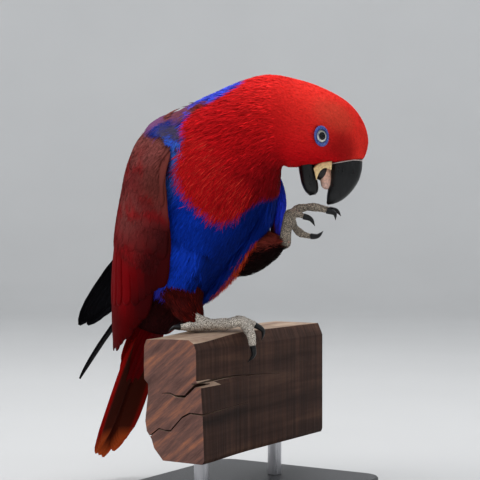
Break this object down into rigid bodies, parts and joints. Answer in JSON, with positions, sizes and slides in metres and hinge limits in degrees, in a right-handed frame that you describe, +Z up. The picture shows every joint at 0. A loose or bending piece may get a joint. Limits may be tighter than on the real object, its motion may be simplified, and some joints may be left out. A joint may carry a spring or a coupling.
{
  "type": "eclectus parrot display model",
  "caption": "Life-size still model of a female eclectus parrot that stands on one foot on a cut length of weathered timber, held by a plain flat stand.",
  "frame": {"origin": "middle of the bounding box at the underside of the stand's base", "axes": "+Z up; +X across the timber, roughly where the breast faces; +Y along the timber, away from its weathered end"},
  "size_m": [0.2758, 0.21, 0.3485],
  "materials": {
    "plumage_red": "scarlet feathers, soft sheen",
    "plumage_maroon": "maroon to crimson feathers",
    "plumage_blue": "royal blue feathers",
    "horn": "black horn, satin",
    "foot_skin": "pale grey granular scales",
    "flesh": "moist flesh",
    "eye": "wet gloss, cream iris and black pupil",
    "timber": "weathered dark hardwood with saw marks and cracks",
    "stand_paint": "satin dark paint",
    "stand_steel": "brushed"
  },
  "bodies": {
    "root": {"torso": "plumage_blue", "neck": "plumage_red", "head": "plumage_red", "upper_mandible": "horn", "lower_mandible": "horn", "tongue": "flesh", "eye_right": "eye", "eye_left": "eye", "thigh_right": "plumage_maroon", "thigh_left": "plumage_maroon", "foot_right": "foot_skin", "foot_left": "foot_skin", "claw_right_front_outer": "horn", "claw_right_front_inner": "horn", "claw_right_back_inner": "horn", "claw_right_back_outer": "horn", "claw_left_front_outer": "horn", "claw_left_front_inner": "horn", "claw_left_back_inner": "horn", "claw_left_back_outer": "horn", "wing_right": "plumage_maroon", "wing_left": "plumage_maroon", "tail": "plumage_maroon", "perch": "timber", "stand_base": "stand_paint", "stand_rod_1": "stand_steel", "stand_rod_2": "stand_steel"}
  },
  "joints": []
}
